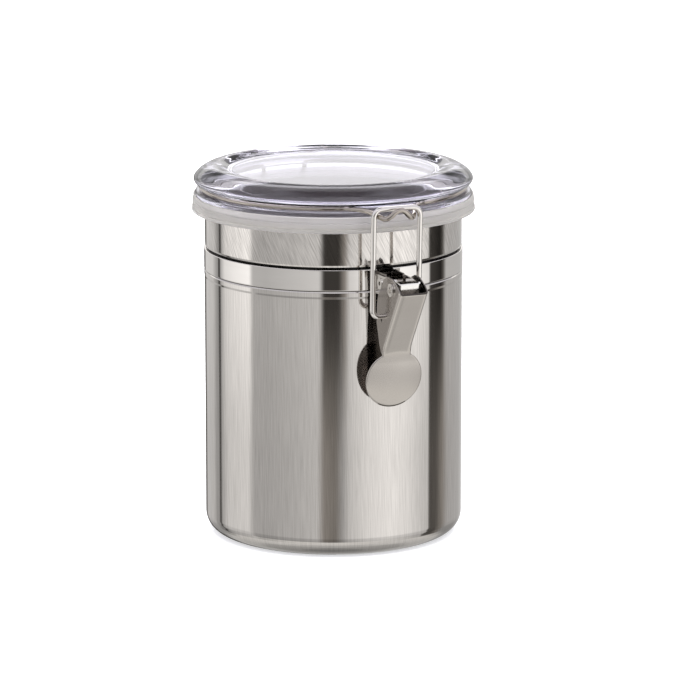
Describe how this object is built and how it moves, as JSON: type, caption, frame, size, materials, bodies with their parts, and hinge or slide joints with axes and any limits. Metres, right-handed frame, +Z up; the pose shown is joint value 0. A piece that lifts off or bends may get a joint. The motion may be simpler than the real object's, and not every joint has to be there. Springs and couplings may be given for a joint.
{
  "type": "food canister",
  "caption": "Round brushed steel food canister with a clear domed lid, silicone gasket, wire lid ring, rear hinge and an over-centre front latch with a wire bail.",
  "frame": {"origin": "centre of the flat base, on the surface the canister stands on", "axes": "+Z up along the canister's axis, -Y towards the latch (front), +Y towards the lid hinge (rear), +X to the right seen from the latch side"},
  "size_m": [0.1398, 0.1763, 0.1841],
  "materials": {
    "body_steel": "satin, fine vertical grain",
    "band_steel": "polished",
    "latch_steel": "satin",
    "wire_steel": "bright",
    "rivet_steel": "bright",
    "clear_lid": "clear gloss acrylic",
    "gasket_silicone": "translucent satin silicone"
  },
  "bodies": {
    "canister": {"canister_body": "body_steel", "clamp_band": "band_steel", "latch_bracket": "latch_steel", "lever_rivet": "rivet_steel", "bracket_rivet": "rivet_steel", "hinge_bracket": "latch_steel", "hinge_rivet": "rivet_steel"},
    "lid_assembly": {"lid": "clear_lid", "lid_gasket": "gasket_silicone", "lid_ring": "wire_steel"},
    "lever": {"latch_lever": "latch_steel"},
    "bail": {"latch_bail": "wire_steel"}
  },
  "joints": [
    {"name": "lid_hinge", "type": "hinge", "parent": "canister", "child": "lid_assembly", "pos_m": [0, 0.073, 0.1384], "axis": [-1, 0, 0], "range_deg": [0, 110]},
    {"name": "lever_pivot", "type": "hinge", "parent": "canister", "child": "lever", "pos_m": [0, -0.0888, 0.138], "axis": [-1, 0, 0], "range_deg": [0, 120]},
    {"name": "bail_pivot", "type": "hinge", "parent": "lever", "child": "bail", "pos_m": [0, -0.0768, 0.1228], "axis": [-1, 0, 0], "range_deg": [-156, 0]}
  ],
  "couplings": [
    {"joint": "bail_pivot", "follows": "lever_pivot", "ratio": -1.3}
  ]
}
